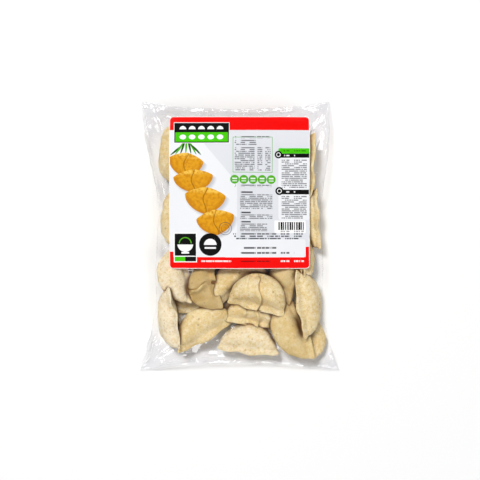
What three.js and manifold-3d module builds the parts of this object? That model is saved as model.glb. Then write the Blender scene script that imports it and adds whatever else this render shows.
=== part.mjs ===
// A clear, sealed bag of frozen gyoza that lies on its back, with a printed label on its front.
// Millimetres, +Z up. The bag's head is towards +Y and its front faces up. The origin is on the
// surface that the bag lies on, under the middle of its box.
import * as THREE from "three";
import Module from "manifold-3d";
import { mergeVertices } from "three/addons/utils/BufferGeometryUtils.js";

// Driving sizes of the bag as it lies, measured over the film
const BAG_LENGTH = 284;
const HEAD_WIDTH = 198;
const FOOT_WIDTH = 211;
const WAIST_WIDTH = 170;
const FILL_HEIGHT = 46;

// The head lies a little to the left of the foot.
const HEAD_SHIFT = -4.2;

// The filling draws the middle of each end in, and lifts the film's fold lines off the surface.
const END_BOW = 8;
const SIDE_FOLD_HEIGHT = 17;
const END_SEAL_HEIGHT = 9;
const CORNER_DROOP = 5;
const SEAL_THICKNESS = 1.2;
const HEAD_SEAL_BAND = 8;
const FOOT_SEAL_BAND = 5;
const BELLY_SAG = 8;

// Creases that fan out of each corner over the empty film
const CREASE_HEIGHT = 2.2;
const CREASES_PER_CORNER = 3;

// A dumpling from above: a half-moon with a round belly, and a straight lip on its other side.
// One that lies on its belly shows its lip on top and is only as wide as it is thick.
const GYOZA_LENGTH = 66;
const BELLY_REACH = 21;
const LIP_REACH = 17;
const GYOZA_THICKNESS = 27;
const GYOZA_DROP = 20;

// The height of the lower layer, which shows in the gaps between the dumplings on top
const GAP_HEIGHT = 22;

// The stiff label bridges the dumplings, a little lower than the highest crowns. The film stays
// with it over a margin outside its edge, and falls away from it over the bridge beyond.
const LABEL_LEVEL = FILL_HEIGHT - 1.6;
const LABEL_MARGIN = 4.5;
const LABEL_BRIDGE = 6;

// The label, stuck on the front of the bag above the window
const LABEL_WIDTH = 145;
const LABEL_HEIGHT = 156;
const LABEL_CORNER = 4;
const LABEL_CENTRE = [0, 45];
const LABEL_THICKNESS = 0.5;
const LABEL_GAP = 0.5;

// How finely the film and the label are divided, across and along the bag, and how much more
// closely towards the edges
const FILM_CELLS = [48, 66];
const LABEL_CELLS = [36, 52];
const EDGE_CROWDING = 0.3;

// The dumplings that show in the window and beside the label: where the middle of each one lies,
// the turn of its long axis in degrees, the height of its crown, and the side of that axis where
// its lip is: 1 to the left, -1 to the right and 0 on top.
const SHOWN_GYOZA = [
  { at: [-68, -42], turn: -76, crown: 37, lip: 1 },
  { at: [-74, -85], turn: -80, crown: 38, lip: 0 },
  { at: [-41, -92], turn: 33, crown: 38, lip: -1 },
  { at: [-38, -55], turn: 120, crown: 36, lip: 1 },
  { at: [-4, -43], turn: 25, crown: 37, lip: -1 },
  { at: [20, -59], turn: 167, crown: 46, lip: 1 },
  { at: [12, -78], turn: 168, crown: 36, lip: 1 },
  { at: [10, -107], turn: -6, crown: 31, lip: -1 },
  { at: [53, -98], turn: -65, crown: 36, lip: 1 },
  { at: [72, -69], turn: 92, crown: 42, lip: 0 },
  { at: [47, -41], turn: 62, crown: 38, lip: -1 },
  { at: [70, 18], turn: 88, crown: 34, lip: 0 },
  { at: [68, -17], turn: 95, crown: 37, lip: 0 },
  { at: [68, 74], turn: 86, crown: 35, lip: 0 },
  { at: [-72, 84], turn: -86, crown: 39, lip: 0 },
  { at: [-71, 18], turn: -90, crown: 39, lip: 0 },
];

const { clamp, lerp, smoothstep, degToRad } = THREE.MathUtils;

const wasm = await Module();
wasm.setup();

// The film's plan: across runs from -1 to 1 over the width, along from -1 at the foot to 1 at the head.
function halfWidth(along) {
  if (along > 0) return lerp(WAIST_WIDTH / 2, HEAD_WIDTH / 2, smoothstep(along, 0.15, 0.95));
  return lerp(WAIST_WIDTH / 2, FOOT_WIDTH / 2, Math.abs(along) ** 2.9);
}

function planPoint(across, along) {
  const bow = END_BOW * (1 - across ** 2) * Math.abs(along) ** 3;
  const shift = HEAD_SHIFT * smoothstep(along, 0.6, 1);
  return [across * halfWidth(along) + shift, along * BAG_LENGTH / 2 - Math.sign(along) * bow];
}

// How full the bag is at a point of its plan, from 0 on the flat seals to 1 over the middle
function fullness(across, along) {
  const seal = along > 0 ? HEAD_SEAL_BAND : FOOT_SEAL_BAND;
  const reach = Math.min(1, Math.abs(along) / (1 - seal / (BAG_LENGTH / 2)));
  const lengthwise = Math.sqrt(1 - reach ** 7);
  const crosswise = Math.sqrt(1 - across ** 4);
  return lengthwise * crosswise;
}

// The height of the line where the front film meets the back film
function foldHeight(across, along) {
  const level = lerp(SIDE_FOLD_HEIGHT, END_SEAL_HEIGHT, Math.abs(along) ** 3);
  return level - CORNER_DROOP * (across * along) ** 4;
}

// Creases fan out of each corner over the empty film.
function cornerCreases(across, along) {
  const [x, y] = planPoint(across, along);
  const [cornerX, cornerY] = planPoint(Math.sign(across) || 1, Math.sign(along) || 1);
  const angle = Math.atan2(Math.abs(cornerY - y), Math.abs(cornerX - x) + 1e-6);
  const away = Math.hypot(cornerX - x, cornerY - y);
  const fade = smoothstep(away, 4, 22) * (1 - smoothstep(away, 35, 75));
  return CREASE_HEIGHT * fade * Math.sin(angle * 4 * CREASES_PER_CORNER);
}

// How high a dumpling's dome stands at a point, from 0 at its outline to 1 on its crown
function dome({ at, turn, lip }, x, y) {
  const angle = degToRad(turn);
  const dx = x - at[0];
  const dy = y - at[1];
  const lengthwise = (dx * Math.cos(angle) + dy * Math.sin(angle)) / (GYOZA_LENGTH / 2);
  const sideways = dy * Math.cos(angle) - dx * Math.sin(angle);
  let away = lengthwise ** 2 + (sideways / (GYOZA_THICKNESS / 2)) ** 2;
  if (lip !== 0) {
    const towardsLip = sideways * lip;
    away = towardsLip > 0
      ? lengthwise ** 2 + (towardsLip / LIP_REACH) ** 4
      : lengthwise ** 2 + (towardsLip / BELLY_REACH) ** 2;
  }
  return Math.max(0, 1 - away ** 2);
}

// The height of the dumplings under the film at a point
function fillHeight(x, y) {
  const tops = SHOWN_GYOZA.map((gyoza) => gyoza.crown - GYOZA_DROP * (1 - dome(gyoza, x, y)));
  return Math.max(...tops);
}

// How far the label bridges the film at a point, from 0 away from it to 1 under it
function underLabel(x, y) {
  const insideX = LABEL_WIDTH / 2 + LABEL_MARGIN - Math.abs(x - LABEL_CENTRE[0]);
  const insideY = LABEL_HEIGHT / 2 + LABEL_MARGIN - Math.abs(y - LABEL_CENTRE[1]);
  return smoothstep(Math.min(insideX, insideY), -LABEL_BRIDGE, 0);
}

// The film over a filling of some height: at most as high as the pillow of a blown-up bag, and
// at least as high as the lower layer, from where it slopes to the seals
function filmHeight(across, along, filling) {
  const full = fullness(across, along);
  const fold = foldHeight(across, along);
  const lowest = lerp(fold, GAP_HEIGHT, full ** 3);
  const highest = lerp(fold, FILL_HEIGHT, full);
  const creases = cornerCreases(across, along) * (1 - full);
  return clamp(filling, lowest, highest) + SEAL_THICKNESS / 2 + creases;
}

function frontHeight(across, along) {
  const [x, y] = planPoint(across, along);
  return filmHeight(across, along, lerp(fillHeight(x, y), LABEL_LEVEL, underLabel(x, y)));
}

function backHeight(across, along) {
  const full = fullness(across, along);
  const fold = foldHeight(across, along);
  const creases = cornerCreases(across, along) * (1 - full);
  return fold - SEAL_THICKNESS / 2 - (fold + BELLY_SAG) * full + creases;
}

// Even steps, drawn closer together towards both edges where the film turns down
function spacing(count) {
  return Array.from({ length: count + 1 }, (_, i) => {
    const even = (2 * i) / count - 1;
    return lerp(even, Math.sin((even * Math.PI) / 2), EDGE_CROWDING);
  });
}

// A closed sheet over part of the plan, between an upper and a lower height
function sheetGeometry(columns, rows, upper, lower) {
  const vertices = [];
  const triangles = [];
  const wide = columns.length;
  const layer = wide * rows.length;
  for (const height of [upper, lower]) {
    for (const along of rows) {
      for (const across of columns) {
        vertices.push(...planPoint(across, along), height(across, along));
      }
    }
  }
  const quad = (a, b, c, d) => triangles.push(a, b, c, a, c, d);
  for (let row = 0; row < rows.length - 1; row++) {
    for (let column = 0; column < wide - 1; column++) {
      const a = row * wide + column;
      quad(a, a + 1, a + wide + 1, a + wide);
      quad(layer + a, layer + a + wide, layer + a + wide + 1, layer + a + 1);
    }
  }
  const rim = (a, b) => quad(b, a, layer + a, layer + b);
  for (let column = 0; column < wide - 1; column++) {
    rim(column, column + 1);
    const last = (rows.length - 1) * wide + column;
    rim(last + 1, last);
  }
  for (let row = 0; row < rows.length - 1; row++) {
    rim((row + 1) * wide, row * wide);
    rim(row * wide + wide - 1, (row + 1) * wide + wide - 1);
  }
  const geometry = new THREE.BufferGeometry();
  geometry.setAttribute("position", new THREE.Float32BufferAttribute(vertices, 3));
  geometry.setIndex(triangles);
  return geometry;
}

function toSolid(geometry) {
  geometry.deleteAttribute("normal");
  geometry.deleteAttribute("uv");
  const merged = mergeVertices(geometry);
  return new wasm.Manifold(new wasm.Mesh({
    numProp: 3,
    vertProperties: merged.attributes.position.array,
    triVerts: new Uint32Array(merged.index.array),
  }));
}

function toGeometry(solid) {
  const { vertProperties, triVerts } = solid.getMesh();
  const geometry = new THREE.BufferGeometry();
  geometry.setAttribute("position", new THREE.BufferAttribute(vertProperties, 3));
  geometry.setIndex(new THREE.BufferAttribute(triVerts, 1));
  geometry.computeVertexNormals();
  return geometry;
}

// The filled bag: a pillow whose belly is pressed flat where it lies
function bagGeometry() {
  const [columns, rows] = FILM_CELLS.map(spacing);
  const pillow = toSolid(sheetGeometry(columns, rows, frontHeight, backHeight));
  const underneath = new THREE.BoxGeometry(2 * FOOT_WIDTH, 2 * BAG_LENGTH, 2 * BELLY_SAG);
  underneath.translate(0, 0, -BELLY_SAG);
  return toGeometry(pillow.subtract(toSolid(underneath)));
}

function labelOutline() {
  const x = LABEL_WIDTH / 2 - LABEL_CORNER;
  const y = LABEL_HEIGHT / 2 - LABEL_CORNER;
  const outline = new THREE.Shape();
  outline.absarc(x, y, LABEL_CORNER, 0, Math.PI / 2);
  outline.absarc(-x, y, LABEL_CORNER, Math.PI / 2, Math.PI);
  outline.absarc(-x, -y, LABEL_CORNER, Math.PI, 1.5 * Math.PI);
  outline.absarc(x, -y, LABEL_CORNER, 1.5 * Math.PI, 2 * Math.PI);
  return outline;
}

// The label: a thin sheet that follows the front film, cut to shape by an upright die
function labelGeometry() {
  const under = (across, along) => filmHeight(across, along, LABEL_LEVEL) + LABEL_GAP;
  const over = (across, along) => under(across, along) + LABEL_THICKNESS;
  const [columns, rows] = LABEL_CELLS.map(spacing);
  const sheet = toSolid(sheetGeometry(
    columns.filter((across) => Math.abs(across) < 0.97),
    rows.filter((along) => along > -0.4 && along < 0.94),
    over,
    under,
  ));
  const die = new THREE.ExtrudeGeometry(labelOutline(), {
    depth: 2 * FILL_HEIGHT,
    bevelEnabled: false,
    curveSegments: 4,
  });
  die.translate(...LABEL_CENTRE, 0);
  return toGeometry(sheet.intersect(toSolid(die)));
}

function namedMesh(name, geometry, material) {
  const mesh = new THREE.Mesh(geometry, new THREE.MeshStandardMaterial(material));
  mesh.name = name;
  return mesh;
}

const bagOfGyoza = new THREE.Group();
bagOfGyoza.add(
  namedMesh("bag", bagGeometry(), { color: 0xdcc99a, roughness: 0.35, metalness: 0 }),
  namedMesh("label", labelGeometry(), { color: 0xe2e2e6, roughness: 0.4, metalness: 0 }),
);

export default bagOfGyoza;
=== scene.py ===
# %% [markdown]
# A clear, sealed bag of frozen gyoza, lying on its back with its printed label up.
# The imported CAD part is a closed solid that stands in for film, filling and air. This lesson
# puts the real things in its place: thirty separate dumplings, a creased clear film around
# them, and a thin printed label stuck on the film. Everything is in metres, in the CAD frame.

import math
import random

import bpy
import numpy as np
from mathutils import Matrix, Quaternion, Vector, noise
from mathutils.bvhtree import BVHTree


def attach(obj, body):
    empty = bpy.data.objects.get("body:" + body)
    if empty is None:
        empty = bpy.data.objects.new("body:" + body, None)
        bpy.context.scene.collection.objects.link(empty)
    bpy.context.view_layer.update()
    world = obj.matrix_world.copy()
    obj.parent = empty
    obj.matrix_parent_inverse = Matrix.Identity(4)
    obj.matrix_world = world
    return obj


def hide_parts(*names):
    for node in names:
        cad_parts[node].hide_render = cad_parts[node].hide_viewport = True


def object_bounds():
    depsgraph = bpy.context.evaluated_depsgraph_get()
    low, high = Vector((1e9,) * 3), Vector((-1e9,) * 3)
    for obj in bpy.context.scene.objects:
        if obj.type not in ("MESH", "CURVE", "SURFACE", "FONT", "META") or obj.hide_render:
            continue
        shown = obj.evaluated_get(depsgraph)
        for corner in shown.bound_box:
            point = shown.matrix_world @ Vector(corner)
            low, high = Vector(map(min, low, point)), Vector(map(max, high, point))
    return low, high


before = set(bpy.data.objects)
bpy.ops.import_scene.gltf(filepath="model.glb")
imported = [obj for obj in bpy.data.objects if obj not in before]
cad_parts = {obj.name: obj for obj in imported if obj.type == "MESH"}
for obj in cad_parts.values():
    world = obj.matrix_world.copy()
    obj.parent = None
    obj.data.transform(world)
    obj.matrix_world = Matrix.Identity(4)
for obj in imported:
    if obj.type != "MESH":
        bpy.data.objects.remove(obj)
cad_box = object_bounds()
MM = 0.001
print("CAD box in mm:", [[round(c / MM, 1) for c in corner] for corner in cad_box])

# %% [markdown]
# A few helpers act as hands. In the window, a modeller clicks faces and drags them. In code,
# the faces and vertices are chosen by their place, and the same operators then move them.

# %% Helpers for modelling by operators


def hold(piece):
    """Makes a piece the only one selected."""
    bpy.ops.object.select_all(action="DESELECT")
    piece.select_set(True)
    bpy.context.view_layer.objects.active = piece


def choose(piece, kind, test):
    """Enters edit mode with the vertices or faces selected whose middle, in mm, passes a test."""
    bpy.ops.object.mode_set(mode="EDIT")
    bpy.ops.mesh.select_mode(type=kind)
    bpy.ops.mesh.select_all(action="DESELECT")
    bpy.ops.object.mode_set(mode="OBJECT")
    if kind == "VERT":
        for vertex in piece.data.vertices:
            vertex.select = bool(test(vertex.co / MM))
    else:
        for face in piece.data.polygons:
            face.select = bool(test(face.center / MM))
    bpy.ops.object.mode_set(mode="EDIT")


def drag(x, y, z, reach):
    """Moves what is selected by mm, with its surroundings following up to a reach in mm."""
    bpy.ops.transform.translate(
        value=(x * MM, y * MM, z * MM),
        use_proportional_edit=True,
        proportional_edit_falloff="SMOOTH",
        proportional_size=reach * MM,
    )


def finish_with(piece, kind, **settings):
    """Adds one modifier to a piece and applies it."""
    hold(piece)
    modifier = piece.modifiers.new(kind, kind)
    for name, value in settings.items():
        setattr(modifier, name, value)
    bpy.ops.object.modifier_apply(modifier=modifier.name)


print("helpers ready: hold, choose, drag, finish_with")

# %% [markdown]
# A gyoza is a round wrapper folded over its filling and pressed shut. The fold bulges into a
# belly, the pressed edge is a thin, nearly straight lip between two pointed ears, and one
# lap of dough on the front takes up the slack. It could be sculpted, but a sphere already has
# rings from ear to ear: flattening one side of it, pinching that side and extruding the lip
# takes a few operators, and the lap is one more extrusion whose far side is pressed back down.
# In its own frame the ears are along X, the lip is towards +Y and the lapped front faces +Z.

# %% Press the lip of a gyoza
GYOZA_SEGMENTS = 36
GYOZA_RINGS = 30
SEALED_SIDE = 0.28
PINCHED = 0.22
PINCH_START = 0.15
PINCH_REACH = 11
LIP_HALF_ANGLE = 0.5
LIP_WIDTH = 4.2
LIP_MIDDLE = 8
LIP_TAPER = 0.8
LIP_STEPS = [
    # share of the lip's width that is extruded, and how much longer the lip gets
    (0.6, 1.05), (0.4, 1.02),
]


def press_lip(gyoza, belly):
    """Draws the sealed side straight, pinches it thin and extrudes the lip from ear to ear."""
    choose(gyoza, "FACE", lambda at: math.atan2(abs(at.z), at.y) < LIP_HALF_ANGLE)
    bpy.ops.object.vertex_group_add()
    bpy.ops.object.vertex_group_assign()
    choose(gyoza, "VERT", lambda at: at.y > 0)
    bpy.ops.transform.resize(value=(1, SEALED_SIDE, 1), center_override=(0, 0, 0))
    choose(gyoza, "VERT", lambda at: at.y > PINCH_START * belly)
    bpy.ops.transform.resize(
        value=(1, 1, PINCHED),
        center_override=(0, 0, 0),
        use_proportional_edit=True,
        proportional_edit_falloff="SMOOTH",
        proportional_size=PINCH_REACH * MM,
    )
    bpy.ops.mesh.select_mode(type="FACE")
    bpy.ops.mesh.select_all(action="DESELECT")
    bpy.ops.object.vertex_group_select()
    for step, widen in LIP_STEPS:
        bpy.ops.mesh.extrude_region_move(
            TRANSFORM_OT_translate={"value": (0, step * LIP_WIDTH * MM, 0)}
        )
        bpy.ops.transform.resize(
            value=(widen, LIP_TAPER, LIP_TAPER), center_override=(0, LIP_MIDDLE * MM, 0)
        )


print("lips will be", LIP_WIDTH, "mm wide")

# %% Lap the front of a gyoza
LAP_SLIDE = 1.5
FRONT = 0.6


def lap_front(gyoza, belly, at_x, width, lift, top):
    """Lifts a strip of the front over its left neighbour and fairs its right side back in."""
    choose(
        gyoza,
        "FACE",
        lambda at: (
            at.z > FRONT and at_x < at.x < at_x + width and -0.9 * belly < at.y < top * belly
        ),
    )
    bpy.ops.mesh.extrude_region_move(
        TRANSFORM_OT_translate={"value": (-LAP_SLIDE * MM, 0, lift * MM)}
    )
    bpy.ops.object.mode_set(mode="OBJECT")
    strip = [v.index for v in gyoza.data.vertices if v.select]
    left = at_x - LAP_SLIDE
    first = min(gyoza.data.vertices[i].co.x for i in strip) / MM
    for edge_x in (first, first + LAP_SLIDE):
        choose(gyoza, "VERT", lambda at: at.z > FRONT and abs(at.x - edge_x) < 0.5)
        bpy.ops.transform.edge_crease(value=1.0)
    bpy.ops.object.mode_set(mode="OBJECT")
    fairing = [
        # which part of the strip is lowered, and by what share of the lift
        (lambda at: at.x > left + 0.22 * width, 0.25),
        (lambda at: at.x > left + 0.50 * width, 0.30),
        (lambda at: at.x > left + 0.80 * width, 0.38),
        (lambda at: at.y < -0.62 * belly, 0.45),
        (lambda at: at.y > (top - 0.2) * belly, 0.5),
    ]
    for beyond, share in fairing:
        for vertex in gyoza.data.vertices:
            vertex.select = False
        for index in strip:
            vertex = gyoza.data.vertices[index]
            vertex.select = bool(beyond(vertex.co / MM))
        bpy.ops.object.mode_set(mode="EDIT")
        bpy.ops.mesh.select_mode(type="VERT")
        bpy.ops.transform.translate(value=(0, 0, -lift * share * MM))
        bpy.ops.object.mode_set(mode="OBJECT")
    shaping = [
        # a hollow beside the lap, then two drags that make its edge an S
        (lambda at: at.z > 2 and at_x - 9 < at.x < at_x - 3, -0.6, 2 / belly, (0, 0, -2.2, 9)),
        (lambda at: at.z > 0.5 and abs(at.x - at_x) < 4, -0.75, -0.45, (4.0, 0, 0.8, 13)),
        (lambda at: at.z > 0.5 and abs(at.x - at_x) < 4, -0.2, 0.1, (-3.0, 0, 0.4, 10)),
    ]
    for near, low, high, pull in shaping:
        choose(gyoza, "VERT", lambda at: near(at) and low * belly < at.y < high * belly)
        drag(*pull)


print("laps will slide", LAP_SLIDE, "mm over the front")

# %% Model the kinds of gyoza
EAR_START = 0.45
EAR_REACH = 12
LIP_WAVES = 6
WAVE_REACH = 10
BELLY_DENTS = 7
DENT_REACH = 12


def model_gyoza(
    name, seed, length, belly, thick, lap_at=None, lap_width=11, lap_lift=3.0, lap_top=1.0
):
    """One kind of gyoza, modelled from a sphere. Sizes are in mm."""
    draw = random.Random(seed)
    bpy.ops.object.select_all(action="DESELECT")
    bpy.ops.mesh.primitive_uv_sphere_add(
        segments=GYOZA_SEGMENTS,
        ring_count=GYOZA_RINGS,
        radius=1,
        rotation=(0, math.pi / 2, 0),
    )
    gyoza = bpy.context.object
    gyoza.name = name
    bpy.ops.object.transform_apply(location=False, rotation=True, scale=False)
    bpy.ops.object.mode_set(mode="EDIT")
    bpy.ops.mesh.select_all(action="SELECT")
    bpy.ops.transform.resize(value=(length / 2 * MM, belly * MM, thick / 2 * MM))
    press_lip(gyoza, belly)
    for side in (-1, 1):
        choose(gyoza, "VERT", lambda at: at.x * side > EAR_START * length and at.y > -3)
        drag(side * 1.5, 1.0, draw.uniform(-2.5, 2.5), EAR_REACH)
    if lap_at is not None:
        lap_front(gyoza, belly, lap_at, lap_width, lap_lift, lap_top)
    for _ in range(LIP_WAVES):
        along = draw.uniform(-0.42, 0.42) * length
        choose(gyoza, "VERT", lambda at: at.y > 7.5 and abs(at.x - along) < 3)
        sideways = draw.uniform(-1.2, 1.2)
        drag(0, sideways, draw.choice((-1, 1)) * draw.uniform(0.8, 2.2), WAVE_REACH)
    for _ in range(BELLY_DENTS):
        along = draw.uniform(-0.3, 0.3) * length
        down = draw.uniform(-0.85, -0.1) * belly
        face = draw.choice((-1, 1))
        choose(
            gyoza,
            "VERT",
            lambda at: abs(at.x - along) < 3 and abs(at.y - down) < 3 and at.z * face > 2,
        )
        drag(0, 0, face * draw.uniform(-1.6, 1.6), DENT_REACH)
    bpy.ops.mesh.select_all(action="SELECT")
    bpy.ops.mesh.normals_make_consistent(inside=False)
    bpy.ops.object.mode_set(mode="OBJECT")
    gyoza.vertex_groups.clear()
    middle = 0.5 * (SEALED_SIDE * belly + LIP_WIDTH - belly)
    gyoza.data.transform(Matrix.Translation((0, -middle * MM, 0)))
    sizes = [round(side / MM, 1) for side in gyoza.dimensions]
    print(name, "is", sizes, "mm with", len(gyoza.data.polygons), "faces")
    return gyoza


KINDS = {
    # seed, then length, belly and thickness in mm, and where a lap lies, if there is one
    "lapped": (3, 58, 28, 24, {"lap_at": 1}),
    "lapped_left": (8, 57, 27, 23, {"lap_at": -8, "lap_width": 13}),
    "folded": (14, 58, 27, 25, {"lap_at": -3, "lap_width": 18, "lap_lift": 3.6, "lap_top": 0.0}),
    "smooth": (11, 60, 28, 23, {}),
    "slim": (21, 62, 25, 21, {}),
}
kinds = {}
for name, (seed, length, belly, thick, lap) in KINDS.items():
    kinds[name] = model_gyoza(f"kind_{name}", seed, length, belly, thick, **lap)

# %% [markdown]
# The dumplings lie in two loose layers. Where one shows, its place and its turn come from the
# photograph, and the hidden ones fill the rest by a rule. Blender's rigid bodies could let
# them tumble, but then they'd no longer lie where the photograph shows them. So each one is
# given its place, and a small settling loop then pushes apart what overlaps, with a few balls
# standing in for each dumpling, the floor under them and the film's height over them.
# The roll says which side is up: 0 is the lapped front, 90 the lip and 180 the smooth back.

# %% Lay out the pile
SHOWN_GYOZA = [
    # name, kind, x, y, z, turn, roll, pitch, scale
    ("a", "smooth", -69, -42, 34, -76, -10, 0, 0.9),
    ("b", "smooth", -76, -85, 20, -80, 65, 0, 1.0),
    ("d", "slim", -42, -90, 26, 33, 185, 0, 1.0),
    ("e", "folded", -37, -56, 24, -78, 5, 0, 0.85),
    ("f", "slim", -3, -45, 29, 25, 170, 0, 1.0),
    ("g", "lapped", 19, -58, 34, 167, -8, 0, 1.0),
    ("h", "lapped_left", 15, -75, 25, 168, -10, 0, 0.85),
    ("i", "smooth", 11, -104, 19, -6, 165, 0, 0.92),
    ("j", "slim", 55, -96, 25, -65, 0, 0, 1.03),
    ("k", "smooth", 72, -69, 26, 92, 55, 0, 1.04),
    ("l", "smooth", 48, -41, 28, 62, 165, 0, 0.9),
    ("m", "slim", 80, -99, 10, -62, 150, 0, 0.75),
    ("n", "smooth", 69, 13, 24, 88, 130, 0, 0.95),
    ("n_low", "slim", 69, -16, 22, 95, 60, 0, 0.9),
    ("o", "slim", 68, 74, 22, 86, 130, 0, 0.95),
    ("p", "smooth", -73, 84, 22, -86, 60, 0, 1.0),
    ("q", "smooth", -73, 18, 22, -90, 65, 0, 0.95),
]
LOWER_PLACES = [
    (-51, -66), (32, -80), (-8, -70), (-34, -22), (24, -26), (-30, 30), (24, 24), (-4, 84),
]
COVERED_PLACES = [(-32, 92), (32, 96), (0, 48), (34, 2), (-28, 4)]


def hidden_gyoza():
    """The lower layer and the part of the upper one that the label covers."""
    draw = random.Random(30)
    names = ["lapped", "lapped_left", "slim", "smooth"]
    rows = []
    for layer, height, places in (("low", 13, LOWER_PLACES), ("covered", 31, COVERED_PLACES)):
        for count, (x, y) in enumerate(places):
            turn = draw.uniform(-40, 40)
            roll = draw.choice((0, 180)) + draw.uniform(-15, 15)
            row = (f"{layer}_{count}", draw.choice(names), x, y, height, turn, roll, 0, 0.95)
            rows.append(row)
    return rows


layout = SHOWN_GYOZA + hidden_gyoza()
print(len(layout), "gyoza, of which", len(SHOWN_GYOZA), "show")

# %% Settle the pile
BALLS = np.array([
    # x, y, z and radius in mm, in a gyoza's own frame
    (0, -1, 0, 11.5), (-12, 0, 0, 10.5), (12, 0, 0, 10.5), (0, -9, 0, 10), (-21, 3, 0, 7),
    (21, 3, 0, 7), (0, 13, 0, 3.5), (-14, 13, 0, 3.5), (14, 13, 0, 3.5), (-26, 11, 0, 3),
    (26, 11, 0, 3),
])
SETTLING_ROUNDS = 260
SHOWN_LOOSENESS = 0.4
FILL_HEIGHT = cad_box[1][2] / MM - 1.5
FILM_ROOM = 1
LID_HALF_WIDTH = 88
LID_HALF_LENGTH = 136
LID_RIM = 14
SIDE_REACH = 84
SIDE_SPREAD = 14
HALF_LENGTH = 142
LEVER = 18
SHIFT_SHARE = 0.7
SPIN_SHARE = 0.5
PULL_HOME = 0.03
TURN_HOME = 0.04


def lid_height(x, y):
    """How high the film can be over a point, in mm: low near the ends and the sides."""
    across = np.clip(np.abs(x) / LID_HALF_WIDTH, 0, 1)
    along = np.clip(np.abs(y) / LID_HALF_LENGTH, 0, 1)
    return LID_RIM + (FILL_HEIGHT - LID_RIM) * np.sqrt((1 - across**4) * (1 - along**7))


def side_limit(y):
    """How far to a side a dumpling can reach at a place along the bag, in mm."""
    return SIDE_REACH + SIDE_SPREAD * np.clip(np.abs(y) / HALF_LENGTH, 0, 1) ** 3


def settle(rows):
    """Centres and turns of the gyoza after what overlaps has been pushed apart."""
    goal = np.array([row[2:5] for row in rows], float)
    turns = [
        Matrix.Rotation(math.radians(turn), 3, "Z")
        @ Matrix.Rotation(math.radians(pitch), 3, "Y")
        @ Matrix.Rotation(math.radians(roll), 3, "X")
        for _, _, _, _, _, turn, roll, pitch, _ in rows
    ]
    wanted = [turn.to_quaternion() for turn in turns]
    now = [quaternion.copy() for quaternion in wanted]
    centre = goal.copy()
    scale = np.array([row[8] for row in rows])
    radius = (scale[:, None] * BALLS[None, :, 3]).ravel()
    owner = np.repeat(np.arange(len(rows)), len(BALLS))
    others = owner[:, None] != owner[None, :]
    loose = np.where(np.arange(len(rows)) < len(SHOWN_GYOZA), SHOWN_LOOSENESS, 1)[owner]
    share = loose[:, None] / (loose[:, None] + loose[None, :])
    for _ in range(SETTLING_ROUNDS):
        turn = np.array([np.array(quaternion.to_matrix()) for quaternion in now])
        arm = np.einsum("nij,kj->nki", turn, BALLS[:, :3]) * scale[:, None, None]
        ball = (centre[:, None, :] + arm).reshape(-1, 3)
        apart = ball[:, None, :] - ball[None, :, :]
        distance = np.linalg.norm(apart, axis=2) + 1e-6
        overlap = np.where(others, radius[:, None] + radius[None, :] - distance, 0).clip(0)
        push = (apart / distance[..., None] * (overlap * share)[..., None]).sum(axis=1)
        touched = (overlap > 0).sum(axis=1).astype(float)
        below = (radius + FILM_ROOM - ball[:, 2]).clip(0)
        above = (ball[:, 2] + radius + FILM_ROOM - lid_height(ball[:, 0], ball[:, 1])).clip(0)
        outside = (np.abs(ball[:, 0]) + radius - side_limit(ball[:, 1])).clip(0)
        push[:, 2] += below - above
        push[:, 0] -= np.sign(ball[:, 0]) * outside
        touched += (below > 0).astype(float) + (above > 0) + (outside > 0)
        push = push.reshape(len(rows), -1, 3)
        weight = np.maximum(1, touched.reshape(len(rows), -1).sum(axis=1))
        shift = push.sum(axis=1) / weight[:, None]
        spin = np.cross(arm, push).sum(axis=1) / (weight[:, None] * LEVER**2)
        centre += SHIFT_SHARE * shift + PULL_HOME * (goal - centre)
        for index, (x, y, z) in enumerate(spin):
            rotation = Vector((x, y, z)) * SPIN_SHARE
            if rotation.length > 1e-9:
                now[index] = Quaternion(rotation.normalized(), rotation.length) @ now[index]
            now[index] = now[index].slerp(wanted[index], TURN_HOME)
    print(f"largest overlap left {overlap.max():.1f} mm, mean {overlap[overlap > 0].mean():.1f} mm")
    return centre, now


centres, turns = settle(layout)

# %% Place a copy of a kind at each settled place
BEND_LIMIT = math.radians(22)
TWIST_LIMIT = math.radians(16)


def place_copy(row, number, centre, turn):
    """A copy of one kind with its own mesh, bent and twisted a little, at its settled place."""
    draw = random.Random(100 + number)
    kind = kinds[row[1]]
    gyoza = kind.copy()
    gyoza.data = kind.data.copy()
    gyoza.name = gyoza.data.name = f"gyoza_{row[0]}"
    bpy.context.collection.objects.link(gyoza)
    for method, axis, limit in (("BEND", "Z", BEND_LIMIT), ("TWIST", "X", TWIST_LIMIT)):
        finish_with(
            gyoza,
            "SIMPLE_DEFORM",
            deform_method=method,
            deform_axis=axis,
            angle=draw.uniform(-limit, limit),
        )
    place = Matrix.Translation(Vector(centre) * MM)
    gyoza.data.transform(place @ turn.to_matrix().to_4x4() @ Matrix.Scale(row[8], 4))
    return gyoza


pieces = [
    place_copy(row, number, centres[number], turns[number]) for number, row in enumerate(layout)
]
for gyoza in pieces:
    heights = [v.co.z / MM for v in gyoza.data.vertices]
    print(f"{gyoza.name} lies from {min(heights):.0f} to {max(heights):.0f} mm")
for kind in kinds.values():
    bpy.data.objects.remove(kind)

# %% [markdown]
# The bag is two sheets of film welded along the head and the foot, and folded at the sides.
# A still shape with drawn wrinkles would look stiff, so the film is left to find its own. It
# starts as a pillow around the pile, and Cloth then gives it back the size of the flat bag:
# where the pillow is too long it draws tight over the dumplings, and where it is too short
# the spare film buckles into creases. The welds stay pinned where the photograph has them.

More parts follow.
